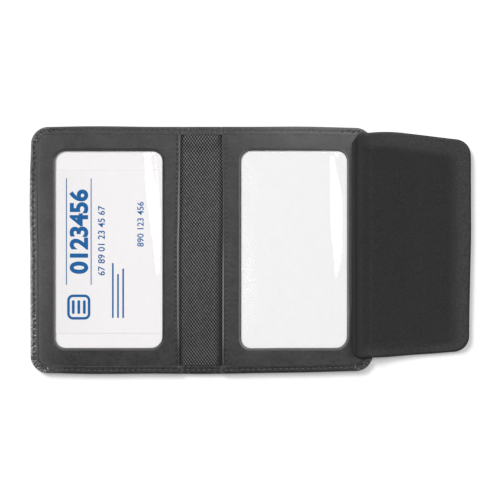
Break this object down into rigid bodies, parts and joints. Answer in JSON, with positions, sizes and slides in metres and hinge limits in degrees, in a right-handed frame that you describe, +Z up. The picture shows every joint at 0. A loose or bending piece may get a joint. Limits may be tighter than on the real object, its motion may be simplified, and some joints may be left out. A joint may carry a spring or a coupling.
{
  "type": "id badge wallet",
  "caption": "Book-fold leather wallet with a clear window pocket for a card in each half and a felt-backed badge flap that folds over the right window.",
  "frame": {"origin": "the middle of the spine, on the surface that the open wallet lies on", "axes": "+X across the open wallet towards the badge flap, +Y up along the fold, +Z up, away from the outer cover"},
  "size_m": [0.2394, 0.134, 0.0058],
  "materials": {
    "cover_leather": "fine grain, semi-matt black",
    "edge_leather": "fine grain, semi-matt black, puckered at the seam",
    "frame_leather": "fine grain, matt black",
    "flap_leather": "fine grain, semi-matt black",
    "lining": "coarse plain-weave nylon, dark grey",
    "clear_vinyl": "clear, glossy, slightly wavy",
    "white_card": "white card",
    "printed_card": "white card with plain blue print",
    "thread": "black waxed thread",
    "felt": "short black pile",
    "board": "leatherboard"
  },
  "bodies": {
    "right_panel": {"cover_right": "cover_leather", "turned_edge_right": "edge_leather", "lining_right": "lining", "frame_right": "frame_leather", "window_right": "clear_vinyl", "edge_stitching_right": "thread", "slot_stitching_right": "thread", "flap_root_leather": "flap_leather", "flap_root_felt": "felt", "flap_root_stitching": "thread"},
    "spine": {"cover_spine": "cover_leather", "turned_edge_spine": "edge_leather", "lining_spine": "lining", "edge_stitching_spine": "thread"},
    "left_panel": {"cover_left": "cover_leather", "turned_edge_left": "edge_leather", "lining_left": "lining", "frame_left": "frame_leather", "window_left": "clear_vinyl", "edge_stitching_left": "thread", "slot_stitching_left": "thread"},
    "badge_flap": {"flap_leather": "flap_leather", "flap_stiffener": "board", "flap_felt": "felt"},
    "insert_card": {"insert_card_right": "white_card"},
    "backing_card": {"backing_card_left": "white_card"},
    "printed_card": {"display_card": "printed_card"}
  },
  "joints": [
    {"name": "spine_fold", "type": "hinge", "parent": "right_panel", "child": "spine", "pos_m": [0.006, 0, 0.0016], "axis": [0, 1, 0], "range_deg": [0, 90]},
    {"name": "left_fold", "type": "hinge", "parent": "spine", "child": "left_panel", "pos_m": [-0.006, 0, 0.0016], "axis": [0, 1, 0], "range_deg": [0, 90]},
    {"name": "flap_fold", "type": "hinge", "parent": "right_panel", "child": "badge_flap", "pos_m": [0.0861, 0, 0.00528], "axis": [0, -1, 0], "range_deg": [0, 179]},
    {"name": "insert_card_slide", "type": "slide", "parent": "right_panel", "child": "insert_card", "axis": [-1, 0, 0], "range_m": [0, 0.011]},
    {"name": "backing_card_slide", "type": "slide", "parent": "left_panel", "child": "backing_card", "axis": [1, 0, 0], "range_m": [0, 0.011]},
    {"name": "printed_card_slide", "type": "slide", "parent": "left_panel", "child": "printed_card", "axis": [1, 0, 0], "range_m": [0, 0.011]}
  ],
  "couplings": [
    {"joint": "left_fold", "follows": "spine_fold", "ratio": 1}
  ]
}
